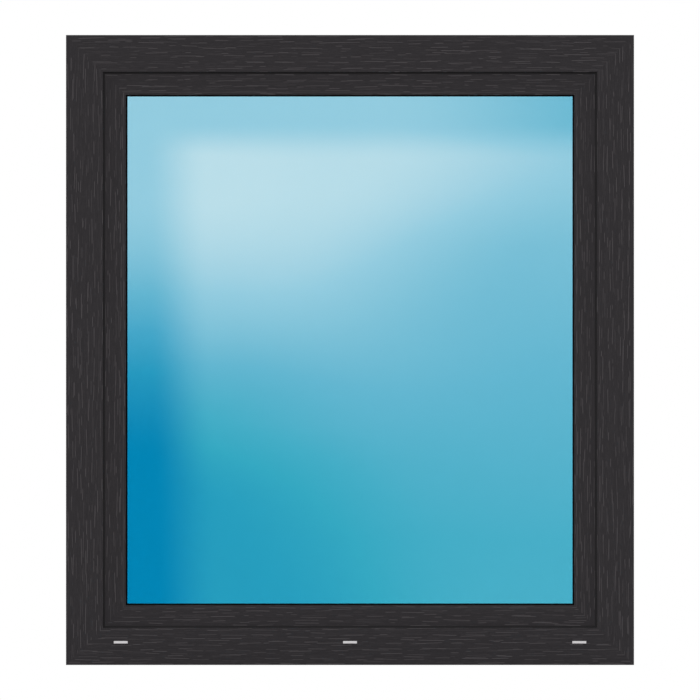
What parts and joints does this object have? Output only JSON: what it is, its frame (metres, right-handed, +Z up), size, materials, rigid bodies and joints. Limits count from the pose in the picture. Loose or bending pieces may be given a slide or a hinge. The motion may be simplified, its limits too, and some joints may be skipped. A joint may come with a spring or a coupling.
{
  "type": "casement window",
  "caption": "Casement window: dark woodgrain plastic frame and sash, insulating glass, drain caps outside, lever handle and hinges on the room side.",
  "frame": {"origin": "middle of the frame's underside, half way through the frame's depth", "axes": "+Z up, -Y towards the outside, +X to the right seen from outside"},
  "size_m": [1.1, 0.1525, 1.22],
  "materials": {
    "woodgrain_foil": "embossed dark woodgrain foil",
    "seal_rubber": "matt black",
    "window_glass": "clear float glass with a blue cast",
    "spacer_metal": "dark coated",
    "drain_plastic": "light grey moulding",
    "fitting_metal": "satin anodised"
  },
  "bodies": {
    "root": {"drain_cap_centre": "drain_plastic", "drain_cap_left": "drain_plastic", "drain_cap_right": "drain_plastic", "frame_bottom_rail": "woodgrain_foil", "frame_gasket": "seal_rubber", "frame_head": "woodgrain_foil", "frame_left_jamb": "woodgrain_foil", "frame_right_jamb": "woodgrain_foil", "glass_inner_pane": "window_glass", "glass_outer_pane": "window_glass", "glass_spacer": "spacer_metal", "glazing_bead_bottom": "woodgrain_foil", "glazing_bead_left": "woodgrain_foil", "glazing_bead_right": "woodgrain_foil", "glazing_bead_top": "woodgrain_foil", "handle_lever": "fitting_metal", "handle_rose": "fitting_metal", "hinge_bottom_frame_part": "fitting_metal", "hinge_bottom_pin": "fitting_metal", "hinge_bottom_sash_part": "fitting_metal", "hinge_top_frame_part": "fitting_metal", "hinge_top_pin": "fitting_metal", "hinge_top_sash_part": "fitting_metal", "inner_glazing_gasket": "seal_rubber", "outer_glazing_gasket": "seal_rubber", "sash_bottom_rail": "woodgrain_foil", "sash_gasket": "seal_rubber", "sash_left_stile": "woodgrain_foil", "sash_right_stile": "woodgrain_foil", "sash_top_rail": "woodgrain_foil"}
  },
  "joints": []
}
